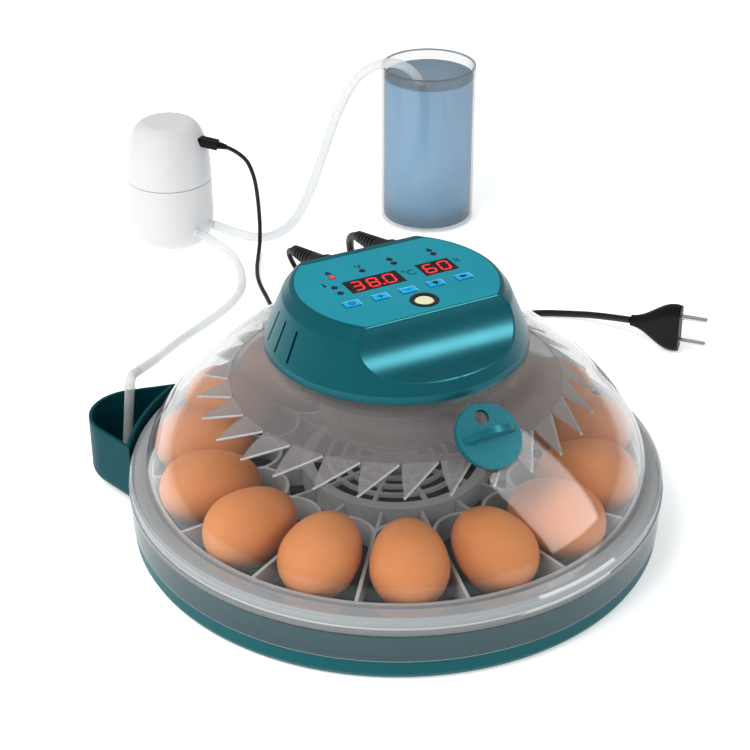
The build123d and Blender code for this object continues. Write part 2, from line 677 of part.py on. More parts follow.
def measuring_cup():
    """Clear straight cup that holds the water supply."""
    cup = rod(CUP_R, 0, CUP_H, CUP_AT) - rod(CUP_R - 1.7, 3.2, CUP_H + 5, CUP_AT)
    return fillet(cup.edges().group_by(Axis.Z)[0], 1.5)


def pump_form(inset=0.0):
    """Capsule shape of the pump, or the same form moved inwards by inset."""
    r = PUMP_R - inset
    top = PUMP_H - inset
    return Pos(*PUMP_AT, 0) * turned(
        Line((0, inset), (21, inset)),
        Bezier((21, inset), (30, inset), (r, 8), (r, 24)),
        Line((r, 24), (r, PUMP_SEAM)),
        Bezier((r, PUMP_SEAM), (r, 82), (28 - inset, top - 1), (17.5, top)),
        Polyline((17.5, top), (0, top), (0, inset)),
    )


def pump_body():
    """Lower shell of the pump."""
    shell = (pump_form() - pump_form(2.0)) & slab(100, 100, 0, PUMP_SEAM - 0.3, PUMP_AT)
    at = Pos(*PUMP_AT, 0)
    return shell - [at * radial_rod(3.4, 25, 45, angle, PORT_Z) for angle in PORTS]


def pump_cap():
    """Upper shell of the pump with the socket for its power lead."""
    shell = (pump_form() - pump_form(2.0)) & slab(100, 100, PUMP_SEAM + 0.3, 120, PUMP_AT)
    shell += (pump_form(2.0) - pump_form(3.2)) & slab(100, 100, PUMP_SEAM - 4, PUMP_SEAM + 4, PUMP_AT)
    return shell - usb_plane() * Pos(0, 0, 28) * Box(9.4, 4.0, 20)


def pump_motor():
    """Pump and motor inside the lower shell."""
    return rod(13.0, 2.0, 40.0, PUMP_AT) + rod(20.0, 8.0, 24.0, PUMP_AT)


def pump_ports():
    """Two hose ends low on the pump."""
    at = Pos(*PUMP_AT, 0)
    nozzle = [radial_rod(3.4, 20.0, PORT_END, angle, PORT_Z) for angle in PORTS]
    bore = [radial_rod(2.0, 21.5, PORT_END + 1, angle, PORT_Z) for angle in PORTS]
    return Compound([at * (n - b - rod(20.0, 0, 30)) for n, b in zip(nozzle, bore)])


def usb_plane():
    """Plane at the free end of the power plug, looking back along it into the pump."""
    return Plane(origin=USB_LEAD[0], x_dir=(0.53, 0.848, 0.0), z_dir=(-0.827, 0.517, 0.221))


def usb_plug():
    """Moulded plug with a tapered neck and a flat metal tongue."""
    body = Pos(0, 0, 16) * Box(10.6, 6.6, 18)
    body = fillet(body.edges().filter_by(Axis.Z), 2.0)
    neck = Pos(0, 0, 3.5) * Cone(2.0, 3.0, 7)
    tongue = Pos(0, 0, 24) * Box(8.4, 3.0, 18)
    return usb_plane() * (body + neck) - pump_form() + (usb_plane() * tongue & pump_form() - pump_form(8.0))


# --- water line and leads -------------------------------------------------------------------
def outlet_elbow():
    """Stiff bent end of the water line that stands in the basin."""
    path = FilletPolyline((-124.7, 133.8, 11.0), (-119.3, 133.6, 61.5), (-111.4, 143.3, 58.0), radius=5.5)
    pipe = sweep(Plane(origin=path @ 0, z_dir=path % 0) * Circle(ELBOW_D / 2), path=path)
    collar = Plane(origin=(-120.1, 133.63, 53.5), z_dir=path % 0) * Cylinder(ELBOW_D / 2 + 0.5, 1.6)
    return pipe + collar


def mains_coil():
    """Outside of the coiled spare length of the mains lead."""
    middle = COIL_H / 2
    section = Pos(COIL_R, middle) * RectangleRounded(COIL_W, COIL_H, 3.0)
    return Pos(*COIL_AT, 0) * revolve(Plane.XZ * section, Axis.Z)


def plug_plane():
    """Plane at the plug's neck: Z along the pins, Y up."""
    return Plane(origin=PLUG_NECK, x_dir=(-0.747, -0.665, 0.0), z_dir=PLUG_DIR)


def plug_section(width, thickness, at):
    """Rounded cross-section of the mains plug at a distance from its neck."""
    return Pos(0, 0, at) * RectangleRounded(thickness, width, thickness * 0.45)


def mains_plug():
    """Flat two-pin plug body that widens towards its face."""
    profile = [plug_section(8.0, 7.0, 0), plug_section(13.0, 10.0, 9), plug_section(31.0, 13.4, 23), plug_section(34.6, 13.7, 36)]
    return plug_plane() * loft(profile, ruled=False)


def plug_pins():
    """Two round pins, 4 mm thick and 19 mm apart."""
    pins = [Pos(0, y, 36 + 9.5) * Cylinder(2.0, 19.0) for y in (-9.5, 9.5)]
    return Compound([plug_plane() * fillet(p.edges().group_by(Axis.Z)[-1], 1.4) for p in pins])


parts = {
    "base_shell": base_shell(),
    "pool_pan": pool_pan(),
    "base_cover": base_cover(),
    "base_screws": base_screws(),
    "rubber_feet": rubber_feet(),
    "water_duct": water_duct(),
    "turner_motor": turner_motor(),
    "lid_seal": lid_seal(),
    "tray_ring": tray_ring(),
    "tray_dividers": tray_dividers(),
    "cell_arches": cell_arches(),
    "tray_hub": tray_hub(),
    "hub_grille": hub_grille(),
    "tray_drive": tray_drive(),
    "eggs": Compound(around(egg(), CELLS, FIRST_EGG)),
    "dome_shell": dome_shell(),
    "air_guide": air_guide(),
    "guide_vanes": guide_vanes(),
    "fan_shroud": fan_shroud(),
    "fan_guard": fan_guard(),
    "fan_rotor": fan_rotor(),
    "heater_ring": heater_ring(),
    "sensor_probe": sensor_probe(),
    "vent_knob": vent_knob(),
    "head_housing": head_housing(),
    "head_base": head_base(),
    "head_screws": head_screws(),
    "fan_motor": fan_motor(),
    "control_board": control_board(),
    "label_plate": label_plate(),
    "indicator_lamps": indicator_lamps(),
    "candler_ring": candler_ring(),
    "candler_lens": candler_lens(),
    "water_basin": water_basin(),
    "measuring_cup": measuring_cup(),
    "pump_body": pump_body(),
    "pump_cap": pump_cap(),
    "pump_motor": pump_motor(),
    "pump_ports": pump_ports(),
    "usb_plug": usb_plug(),
    "outlet_elbow": outlet_elbow(),
    "outlet_tube": cord("outlet_tube", TUBE_OUT, OUTLET_D),
    "inlet_tube": cord("inlet_tube", TUBE_IN, INLET_D),
    "usb_lead": cord("usb_lead", USB_LEAD, USB_D),
    "mains_drop": cord("mains_drop", MAINS_DROP, MAINS_D),
    "mains_coil": mains_coil(),
    "mains_run": cord("mains_run", MAINS_RUN, MAINS_D),
    "mains_plug": mains_plug(),
    "plug_pins": plug_pins(),
}
for name, place in DISPLAYS.items():
    parts[name] = display(*place)
for name, x in BUTTONS.items():
    parts[name] = push_button(x)
for name, x in BOOTS.items():
    parts[name] = strain_relief(x)

os.makedirs("parts", exist_ok=True)
for name, shape in parts.items():
    export_step(shape, f"parts/{name}.step")
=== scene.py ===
import json
import math

import bmesh
import bpy
from mathutils import Matrix, Vector


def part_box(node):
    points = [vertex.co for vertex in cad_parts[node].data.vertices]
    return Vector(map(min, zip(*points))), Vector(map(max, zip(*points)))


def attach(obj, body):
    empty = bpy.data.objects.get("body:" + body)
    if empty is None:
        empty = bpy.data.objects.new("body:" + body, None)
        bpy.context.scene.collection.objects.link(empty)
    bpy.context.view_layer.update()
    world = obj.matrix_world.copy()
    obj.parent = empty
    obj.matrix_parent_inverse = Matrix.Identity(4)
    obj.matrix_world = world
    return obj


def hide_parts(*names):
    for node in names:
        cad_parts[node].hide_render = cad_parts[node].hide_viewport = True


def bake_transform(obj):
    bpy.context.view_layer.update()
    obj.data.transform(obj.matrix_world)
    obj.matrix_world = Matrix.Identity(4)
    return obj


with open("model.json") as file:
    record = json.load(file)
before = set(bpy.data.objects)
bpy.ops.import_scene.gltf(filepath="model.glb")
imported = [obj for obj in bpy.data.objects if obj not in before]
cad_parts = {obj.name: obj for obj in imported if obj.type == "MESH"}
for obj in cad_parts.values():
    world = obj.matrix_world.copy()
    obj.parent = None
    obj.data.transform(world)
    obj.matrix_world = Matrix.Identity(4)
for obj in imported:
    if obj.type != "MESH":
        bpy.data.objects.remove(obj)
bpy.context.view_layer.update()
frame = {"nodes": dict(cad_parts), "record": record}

# Egg incubator with its water pump kit. Sizes are in millimetres unless a comment says otherwise.
MM = 0.001
NODES = frame["nodes"]

# ---------------------------------------------------------------------------- camera and light
CAMERA_AT = (-434.2, -796.4, 625.35)
CAMERA_HEADING = 27.81      # degrees clockwise from +Y
CAMERA_PITCH = 30.13        # degrees below the horizon
CAMERA_LENS = 84.87         # millimetres, on a sensor of CAMERA_SENSOR
CAMERA_SENSOR = 36.0

# Lights: where they stand and what they aim at, size (width, height), all in metres, and power in watts.
# The first four light the scene and aren't mirrored. The other two are only mirrored, by the nodes listed.
SOFT_BOXES = {
    "key": ((-1.1, -0.35, 1.6), (0, 0, 0.08), (0.9, 0.7), 21),
    "front": ((0.55, -1.6, 1.15), (0.0, -0.06, 0.12), (0.7, 0.5), 6),
    "side": ((-1.6, 0.5, 0.5), (0.0, 0.0, 0.08), (0.3, 0.8), 5),
    "back": ((0.5, 1.7, 1.4), (0, 0.1, 0.1), (1.4, 0.7), 9),
}
REFLECTED_CARDS = {
    "card": ((1.15, -0.97, 0.74), (0, -0.1, 0.1), (0.85, 1.5), 24, ("dome_shell", "vent_knob")),
    "strip": ((0.655, -0.69, 1.34), (0, -0.1, 0.13), (0.75, 0.5), 15, ("head_housing",)),
}
WORLD_COLOR = (0.95, 0.98, 1.0, 1)
WORLD_STRENGTH = 0.42
FLOOR_SIZE = 40             # metres
FLOOR_Z = -0.0004           # metres
FLOOR_GLOW = 0.42


def add_camera():
    """The front view, from above and to the left."""
    data = bpy.data.cameras.new("camera")
    data.lens = CAMERA_LENS
    data.sensor_width = CAMERA_SENSOR
    data.clip_start = 0.05
    data.clip_end = 50.0
    camera = bpy.data.objects.new("camera", data)
    camera.location = Vector(CAMERA_AT) * MM
    camera.rotation_euler = (math.radians(90 - CAMERA_PITCH), 0, -math.radians(CAMERA_HEADING))
    bpy.context.scene.collection.objects.link(camera)
    bpy.context.scene.camera = camera


def area_light(name, at, target, size, power, mirrored):
    """Soft box aimed at a point, either only mirrored by what it is linked to or only casting light."""
    data = bpy.data.lights.new(name, "AREA")
    data.shape = "RECTANGLE"
    data.size, data.size_y = size
    data.energy = power
    light = bpy.data.objects.new(name, data)
    light.location = at
    light.rotation_euler = (Vector(target) - Vector(at)).to_track_quat("-Z", "Y").to_euler()
    light.visible_glossy = mirrored
    light.visible_diffuse = not mirrored
    bpy.context.scene.collection.objects.link(light)
    return light


def add_studio():
    """White floor, dim pale surroundings, the soft boxes, and the cards that the glossy parts mirror."""
    world = bpy.data.worlds.new("studio")
    bpy.context.scene.world = world
    world.use_nodes = True
    background = world.node_tree.nodes["Background"]
    background.inputs["Color"].default_value = WORLD_COLOR
    background.inputs["Strength"].default_value = WORLD_STRENGTH
    for name, (at, target, size, power) in SOFT_BOXES.items():
        area_light(name, at, target, size, power, mirrored=False)
    for name, (at, target, size, power, mirrors) in REFLECTED_CARDS.items():
        light = area_light(name, at, target, size, power, mirrored=True)
        linked = bpy.data.collections.new("mirrors_" + name)
        for node in mirrors:
            linked.objects.link(NODES[node])
        light.light_linking.receiver_collection = linked
    bpy.ops.mesh.primitive_grid_add(
        x_subdivisions=4, y_subdivisions=4, size=FLOOR_SIZE, location=(0, 0, FLOOR_Z)
    )
    floor = bpy.context.object
    floor.name = "floor"
    floor.data.materials.append(floor_material())
    bpy.context.scene.view_settings.view_transform = "Standard"


# ---------------------------------------------------------------------------- materials
def blank(name):
    """New material, with its tree and its Principled node."""
    made = bpy.data.materials.new(name)
    made.use_nodes = True
    return made, made.node_tree, made.node_tree.nodes["Principled BSDF"]


def noise(tree, scale, detail, finer=(1, 1, 1)):
    """Noise in the row frame: scale in features per metre, finer along each axis by a factor."""
    place = tree.nodes.new("ShaderNodeTexCoord")
    mapping = tree.nodes.new("ShaderNodeMapping")
    mapping.inputs["Scale"].default_value = finer
    texture = tree.nodes.new("ShaderNodeTexNoise")
    texture.inputs["Scale"].default_value = scale
    texture.inputs["Detail"].default_value = detail
    tree.links.new(place.outputs["Object"], mapping.inputs["Vector"])
    tree.links.new(mapping.outputs["Vector"], texture.inputs["Vector"])
    return texture.outputs["Fac"]


def ramp(tree, fac, *stops):
    """Colour ramp of (position, colour) stops."""
    node = tree.nodes.new("ShaderNodeValToRGB")
    elements = node.color_ramp.elements
    while len(elements) < len(stops):
        elements.new(0.5)
    for element, (position, color) in zip(elements, stops):
        element.position = position
        element.color = (*color, 1)
    tree.links.new(fac, node.inputs["Fac"])
    return node.outputs["Color"]


def spread(tree, fac, low, high, from_low=0.3, from_high=0.7):
    """Maps a 0 to 1 value to a range."""
    node = tree.nodes.new("ShaderNodeMapRange")
    node.inputs["From Min"].default_value = from_low
    node.inputs["From Max"].default_value = from_high
    node.inputs["To Min"].default_value = low
    node.inputs["To Max"].default_value = high
    tree.links.new(fac, node.inputs["Value"])
    return node.outputs["Result"]


def add_bump(tree, shader, height, strength, distance):
    """Bump from a 0 to 1 height, its distance in metres."""
    bump = tree.nodes.new("ShaderNodeBump")
    bump.inputs["Strength"].default_value = strength
    bump.inputs["Distance"].default_value = distance
    tree.links.new(height, bump.inputs["Height"])
    tree.links.new(bump.outputs["Normal"], shader.inputs["Normal"])


def shade(color, factor):
    """Colour made lighter or darker by a factor."""
    return tuple(min(1.0, c * factor) for c in color)


def moulded(name, color, rough, metallic=0.0, vary=0.08, grain=1500, grain_depth=0.00002, spec=0.5, uneven=0.15):
    """Moulded plastic or rubber: slight colour drift, fine grain (depth in metres) and uneven gloss."""
    made, tree, shader = blank(name)
    drift = noise(tree, 28, 4)
    tree.links.new(
        ramp(tree, drift, (0.3, shade(color, 1 - vary)), (0.7, shade(color, 1 + vary))),
        shader.inputs["Base Color"],
    )
    smudge = noise(tree, 75, 5)
    tree.links.new(
        spread(tree, smudge, rough * (1 - uneven), rough * (1 + uneven)), shader.inputs["Roughness"]
    )
    add_bump(tree, shader, noise(tree, grain, 2), 0.35, grain_depth)
    shader.inputs["Metallic"].default_value = metallic
    shader.inputs["Specular IOR Level"].default_value = spec
    return made


def edge_on(tree, low, high, power):
    """Value that runs from low, seen square on, to high, seen edge on."""
    weight = tree.nodes.new("ShaderNodeLayerWeight")
    weight.inputs["Blend"].default_value = 0.5
    sharper = tree.nodes.new("ShaderNodeMath")
    sharper.operation = "POWER"
    sharper.inputs[1].default_value = power
    tree.links.new(weight.outputs["Facing"], sharper.inputs[0])
    return spread(tree, sharper.outputs["Value"], low, high, 0.0, 1.0)


def by_height(tree, *stops):
    """Colour by height above the floor: (millimetres, colour) stops, the lowest and highest first and last."""
    low, high = stops[0][0], stops[-1][0]
    place = tree.nodes.new("ShaderNodeTexCoord")
    split = tree.nodes.new("ShaderNodeSeparateXYZ")
    tree.links.new(place.outputs["Object"], split.inputs["Vector"])
    level = spread(tree, split.outputs["Z"], 0.0, 1.0, low * MM, high * MM)
    return ramp(tree, level, *(((z - low) / (high - low), color) for z, color in stops))


def solid_edges(tree, shader, solid, edge, power):
    """Alpha that follows a colour over the surface and runs to a number where it is seen edge on."""
    node = tree.nodes.new("ShaderNodeMix")
    node.data_type = "RGBA"
    low, high = (plug for plug in node.inputs if plug.type == "RGBA")
    tree.links.new(edge_on(tree, 0.0, 1.0, power), node.inputs[0])
    tree.links.new(solid, low)
    high.default_value = (edge, edge, edge, 1)
    tree.links.new(next(plug for plug in node.outputs if plug.type == "RGBA"), shader.inputs["Alpha"])


def grey(value):
    return (value, value, value)


def clear(name, tint, rough, square, edge, power, metallic=0.0):
    """See-through plastic: its alpha runs from square, seen square on, to edge, seen edge on, with faint haze."""
    made, tree, shader = blank(name)
    tree.links.new(edge_on(tree, square, edge, power), shader.inputs["Alpha"])
    haze = noise(tree, 40, 4)
    tree.links.new(ramp(tree, haze, (0.3, shade(tint, 0.97)), (0.7, tint)), shader.inputs["Base Color"])
    tree.links.new(spread(tree, haze, rough * 0.95, rough * 1.05), shader.inputs["Roughness"])
    shader.inputs["Metallic"].default_value = metallic
    return made


# Heights on the lid, in millimetres above the floor, where its finish changes, and where the pale painted highlight
# lines at the skirt's foot and along the lip start and end.
FOOT_PAINTED_HIGHLIGHT_LOW = 12
FOOT_PAINTED_HIGHLIGHT_HIGH = 13.5
SKIRT_LOW = 13.9
SKIRT_HIGH = 30.0
SEAM_LOW = 30.4
SEAM_HIGH = 31.1
LEDGE_LOW = 31.5
LIP_PAINTED_HIGHLIGHT_LOW = 35.4
LIP_PAINTED_HIGHLIGHT_HIGH = 36.0
LEDGE_HIGH = 41.9
DOME_LOW = 42.7


def lid_material():
    """Clear lid that mirrors the soft boxes, with a pale rim, a dark seam under it, a smoky skirt, and pale bands at
    the skirt's foot and along the lip that are painted highlight lines.
    """
    made, tree, shader = blank("clear_lid")
    solid = by_height(
        tree, (FOOT_PAINTED_HIGHLIGHT_LOW, grey(0.90)), (31.2, grey(0.93)), (31.6, grey(0.60)), (LIP_PAINTED_HIGHLIGHT_HIGH, grey(0.60)),
        (LEDGE_HIGH, grey(0.60)), (DOME_LOW, grey(0.022)),
    )
    solid_edges(tree, shader, solid, 0.93, 3.6)
    tint = by_height(
        # The pale band at the skirt's foot is a painted highlight line.
        tree, (FOOT_PAINTED_HIGHLIGHT_LOW, (0.35, 0.38, 0.39)), (FOOT_PAINTED_HIGHLIGHT_HIGH, (0.35, 0.38, 0.39)),
        (SKIRT_LOW, (0.024, 0.068, 0.078)), (SKIRT_HIGH, (0.030, 0.078, 0.088)),
        (SEAM_LOW, (0.006, 0.008, 0.008)), (SEAM_HIGH, (0.006, 0.008, 0.008)),
        (LEDGE_LOW, (0.26, 0.27, 0.275)), (35.0, (0.36, 0.375, 0.385)),
        # The pale band along the lip is a painted highlight line.
        (LIP_PAINTED_HIGHLIGHT_LOW, (0.85, 0.86, 0.87)), (LIP_PAINTED_HIGHLIGHT_HIGH, (0.85, 0.86, 0.87)),
        (36.4, (0.44, 0.47, 0.485)), (LEDGE_HIGH, (0.52, 0.55, 0.565)), (DOME_LOW, (0.86, 0.87, 0.88)),
    )
    haze = noise(tree, 40, 4)
    tree.links.new(tint, shader.inputs["Base Color"])
    tree.links.new(spread(tree, haze, 0.015, 0.035), shader.inputs["Roughness"])
    mirror = by_height(tree, (LEDGE_HIGH, grey(0.1)), (DOME_LOW, grey(0.9)))
    tree.links.new(mirror, shader.inputs["Metallic"])
    return made


def base_material():
    """Teal base, darker on the floor under the eggs as painted shade."""
    made, tree, shader = blank("base")
    # The dark teal from 24.5 mm up, on the floor under the eggs, is painted shade.
    tint = by_height(tree, (13, (0.003, 0.095, 0.11)), (22, (0.003, 0.085, 0.10)), (24.5, (0.002, 0.022, 0.026)))
    tree.links.new(tint, shader.inputs["Base Color"])
    tree.links.new(spread(tree, noise(tree, 75, 5), 0.3, 0.42), shader.inputs["Roughness"])
    add_bump(tree, shader, noise(tree, 1500, 2), 0.35, 0.000004)
    shader.inputs["Specular IOR Level"].default_value = 0.12
    return made


def water_material():
    """Blue-tinted water, darker near the cup's floor and on its surface, both painted shade."""
    made, tree, shader = blank("water")
    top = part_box("measuring_cup")[1].z / MM - WATER_BELOW_RIM
    # Painted shade: darker blue towards the cup's floor and a dark band at the surface.
    tint = by_height(
        tree, (2, (0.10, 0.18, 0.25)), (9, (0.12, 0.22, 0.30)), (22, (0.22, 0.44, 0.65)), (60, (0.26, 0.52, 0.77)),
        (top - 1.0, (0.24, 0.47, 0.70)), (top - 0.1, (0.13, 0.22, 0.29)),
    )
    tree.links.new(tint, shader.inputs["Base Color"])
    tree.links.new(edge_on(tree, 0.70, 0.92, 2.0), shader.inputs["Alpha"])
    tree.links.new(spread(tree, noise(tree, 60, 2), 0.04, 0.09), shader.inputs["Roughness"])
    return made


def cup_material():
    """Clear cup: grey edges, with a dark rim that catches the light."""
    made, tree, shader = blank("clear_cup")
    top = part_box("measuring_cup")[1].z / MM
    level = top - WATER_BELOW_RIM
    solid = by_height(
        tree, (0, grey(0.06)), (level, grey(0.06)), (level + 0.4, grey(0.13)), (top - 1.1, grey(0.13)),
        (top - 0.7, grey(0.72)),
    )
    solid_edges(tree, shader, solid, 0.8, 4.0)
    tint = ramp(tree, noise(tree, 40, 3), (0.3, (0.10, 0.11, 0.12)), (0.7, (0.13, 0.14, 0.15)))
    tree.links.new(tint, shader.inputs["Base Color"])
    tree.links.new(spread(tree, noise(tree, 40, 3), 0.03, 0.06), shader.inputs["Roughness"])
    return made


def eggshell_material():
    """Brown hen's egg: mottled, with pores and a slight bloom."""
    made, tree, shader = blank("eggshell")
    broad = noise(tree, 22, 3)
    tree.links.new(
        ramp(tree, broad, (0.25, (0.60, 0.212, 0.066)), (0.55, (0.685, 0.256, 0.086)), (0.8, (0.75, 0.30, 0.114))),
        shader.inputs["Base Color"],
    )
    pores = noise(tree, 1400, 2)
    add_bump(tree, shader, pores, 0.3, 0.00005)
    tree.links.new(spread(tree, noise(tree, 300, 3), 0.42, 0.55), shader.inputs["Roughness"])
    shader.inputs["Subsurface Weight"].default_value = 0.12
    shader.inputs["Subsurface Radius"].default_value = (0.006, 0.003, 0.002)
    shader.inputs["Subsurface Scale"].default_value = 0.5
    shader.inputs["Specular IOR Level"].default_value = 0.4
    return made


def floor_material():
    """White floor that glows slightly, so that it stays white away from the lights."""
    made, tree, shader = blank("floor")
    tree.links.new(
        ramp(tree, noise(tree, 2, 2), (0.3, grey(0.92)), (0.7, grey(0.94))),
        shader.inputs["Base Color"],
    )
    shader.inputs["Emission Color"].default_value = (1, 1, 1, 1)
    shader.inputs["Emission Strength"].default_value = FLOOR_GLOW
    shader.inputs["Roughness"].default_value = 0.9
    shader.inputs["Specular IOR Level"].default_value = 0.1
    return made


def glowing(name, color, strength):
    """Lit plastic: a colour that also gives off its own light."""
    made, tree, shader = blank(name)
    tree.links.new(
        ramp(tree, noise(tree, 600, 2), (0.3, shade(color, 0.9)), (0.7, color)), shader.inputs["Base Color"]
    )
    shader.inputs["Emission Color"].default_value = (*color, 1)
    shader.inputs["Emission Strength"].default_value = strength
    shader.inputs["Roughness"].default_value = 0.3
    return made


def metal(name, color, rough, brushed=(1, 1, 1)):
    """Metal with faint streaks, which lie across the axis where brushed is over 1."""
    made, tree, shader = blank(name)
    streaks = noise(tree, 400, 3, brushed)
    tree.links.new(ramp(tree, streaks, (0.3, shade(color, 0.88)), (0.7, color)), shader.inputs["Base Color"])
    tree.links.new(spread(tree, streaks, rough * 0.8, rough * 1.3), shader.inputs["Roughness"])
    shader.inputs["Metallic"].default_value = 1.0
    return made


WATER_BELOW_RIM = 9.0
TEAL = (0.0035, 0.108, 0.134)
MATERIALS = {
    "teal_band": moulded("teal_band", (0.003, 0.095, 0.11), 0.35, grain_depth=0.000004, spec=0.12),
    "cover_dark": moulded("cover_dark", (0.012, 0.05, 0.055), 0.5),
    "screw_steel": metal("screw_steel", (0.55, 0.55, 0.57), 0.3),
    "foot_rubber": moulded("foot_rubber", (0.02, 0.02, 0.021), 0.75, grain=700, grain_depth=0.00006),
    "duct_grey": moulded("duct_grey", (0.25, 0.27, 0.28), 0.5),
    "motor_steel": metal("motor_steel", (0.5, 0.51, 0.53), 0.35, (1, 1, 6)),
    "seal_rubber": moulded("seal_rubber", (0.55, 0.58, 0.58), 0.6, grain=600),
    "tray_plastic": clear("tray_plastic", (0.62, 0.63, 0.63), 0.35, 0.62, 0.95, 2.0),
    "eggshell": eggshell_material(),
    "clear_lid": lid_material(),
    "clear_guide": clear("clear_guide", (0.42, 0.405, 0.395), 0.22, 0.34, 0.85, 2.5, 0.2),
    "white_nylon": moulded("white_nylon", (0.62, 0.64, 0.65), 0.4),
    "heater_black": moulded("heater_black", (0.03, 0.03, 0.032), 0.5, metallic=0.3),
    "sensor_black": moulded("sensor_black", (0.02, 0.02, 0.02), 0.4),
    "teal_head": moulded(
        "teal_head", TEAL, 0.3, metallic=0.45, vary=0.04, grain=1600, grain_depth=0.000003, spec=0.3, uneven=0.04
    ),
    "board_green": moulded("board_green", (0.01, 0.12, 0.04), 0.4),
    "label_blue": moulded(
        "label_blue", (0.014, 0.27, 0.35), 0.5, vary=0.04, grain=1600, grain_depth=0.000004, spec=0.1
    ),
    "display_black": moulded("display_black", (0.016, 0.003, 0.005), 0.2, spec=0.15),
    "lamp_clear": moulded("lamp_clear", (0.010, 0.010, 0.012), 0.35, spec=0.2),
    "ring_black": moulded("ring_black", (0.010, 0.010, 0.010), 0.3, spec=0.3),
    "lens_warm": glowing("lens_warm", (0.80, 0.76, 0.50), 0.08),
    "button_blue": moulded("button_blue", (0.002, 0.40, 0.80), 0.4, vary=0.04, spec=0.15),
    "teal_basin": moulded("teal_basin", (0.001, 0.060, 0.074), 0.42, grain_depth=0.000006, spec=0.06),
    "clear_cup": cup_material(),
    "pump_white": moulded(
        "pump_white", (0.70, 0.702, 0.705), 0.3, vary=0.01, grain_depth=0.000003, spec=0.4, uneven=0.04
    ),
    "tube_clear": clear("tube_clear", (0.80, 0.82, 0.83), 0.2, 0.45, 0.95, 2.0),
    "cord_black": moulded("cord_black", (0.009, 0.009, 0.010), 0.45, grain=900, grain_depth=0.00002, spec=0.35),
    "plug_black": moulded("plug_black", (0.006, 0.006, 0.007), 0.5, grain=1200, grain_depth=0.00001, spec=0.2),
    "pin_metal": metal("pin_metal", (0.80, 0.79, 0.77), 0.18, (1, 1, 8)),
}
WATER = water_material()
# The knob's teal is the head's teal made 1.35 times lighter: a lit copy of one material, painted light.
KNOB_PAINTED_LIGHT = moulded(
    "knob", shade(TEAL, 1.35), 0.28, metallic=0.4, vary=0.04, grain_depth=0.000003, spec=0.4, uneven=0.04
)
BELL = clear("bell", (0.29, 0.27, 0.262), 0.3, 0.40, 0.9, 2.0, 0.1)
BASE = base_material()
# The pool pan's dark teal, darker than the base's, is painted shade under the tray.
PAN_PAINTED_SHADE = moulded("pan_painted_shade", (0.002, 0.030, 0.034), 0.4, spec=0.2)
VANE = clear("vane", (0.33, 0.315, 0.305), 0.22, 0.50, 0.85, 2.5, 0.1)
# Pale grey of the beads along the vanes' edges: a painted highlight line.
HIGHLIGHT_RAIL = moulded("rail", (0.50, 0.49, 0.48), 0.3, spec=0.3)
LIT_RED = glowing("lit_red", (0.95, 0.012, 0.008), 1.2)
DIGIT_RED = glowing("digit_red", (0.85, 0.014, 0.012), 0.6)
# Black print, also used for the painted shade strokes along the keys' near and left edges.
PRINT_AND_SHADE_BLACK = moulded("print_and_shade_black", (0.006, 0.02, 0.025), 0.5, spec=0.2)
# Pale blue painted highlight strokes along the keys' far and right edges.
HIGHLIGHT_PALE = moulded("highlight_pale", (0.50, 0.80, 0.90), 0.4, spec=0.3)
NODE_MATERIALS = {"air_guide": BELL, "fan_shroud": BELL, "pool_pan": PAN_PAINTED_SHADE, "base_shell": BASE, "vent_knob": KNOB_PAINTED_LIGHT}
CREASE = 32                 # degrees between faces above which a CAD node's edge stays sharp


# ---------------------------------------------------------------------------- mesh helpers
def add_mesh(name, mesh, body, slot_name, material=None, smooth=40):
    """Puts a mesh in the scene, smooth-shaded up to an angle, riding on a body."""
    piece = bpy.data.objects.new(name, mesh)
    bpy.context.scene.collection.objects.link(piece)
    piece.data.materials.append(material or MATERIALS[slot_name])
    if smooth:
        mesh.shade_smooth()
        mesh.set_sharp_from_angle(angle=math.radians(smooth))
    if body:
        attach(piece, body)
    return piece


def from_bmesh(name, shape):
    """Mesh of a finished shape, with its faces turned outwards."""
    mesh = bpy.data.meshes.new(name)
    bmesh.ops.recalc_face_normals(shape, faces=shape.faces)
    shape.to_mesh(mesh)
    shape.free()
    return mesh


def join_rings(shape, ring, other):
    """Band of faces between two rings of as many points."""
    for i in range(len(ring)):
        j = (i + 1) % len(ring)
        shape.faces.new((ring[i], ring[j], other[j], other[i]))


def lathe_mesh(name, profile, count, centre):
    """Turns (radius, height) points in millimetres round a vertical axis, from axis to axis."""
    shape = bmesh.new()
    rings = []
    for radius, height in profile:
        if radius == 0:
            rings.append([shape.verts.new((centre[0] * MM, centre[1] * MM, height * MM))])
            continue
        ring = []
        for i in range(count):
            angle = 2 * math.pi * i / count
            x = centre[0] + radius * math.cos(angle)
            y = centre[1] + radius * math.sin(angle)
            ring.append(shape.verts.new((x * MM, y * MM, height * MM)))
        rings.append(ring)
    for low, high in zip(rings, rings[1:]):
        for i in range(count):
            j = (i + 1) % count
            corners = [low[i % len(low)], low[j % len(low)], high[j % len(high)], high[i % len(high)]]
            unique = list(dict.fromkeys(corners))
            if len(unique) > 2:
                shape.faces.new(unique)
    return from_bmesh(name, shape)


def prism_mesh(name, outlines, low, high):
    """Flat plates: each outline of (x, y) points in millimetres, between two heights."""
    shape = bmesh.new()
    for outline in outlines:
        bottom = [shape.verts.new((x * MM, y * MM, low * MM)) for x, y in outline]
        top = [shape.verts.new((x * MM, y * MM, high * MM)) for x, y in outline]
        shape.faces.new(bottom)
        shape.faces.new(top)
        join_rings(shape, bottom, top)
    return from_bmesh(name, shape)


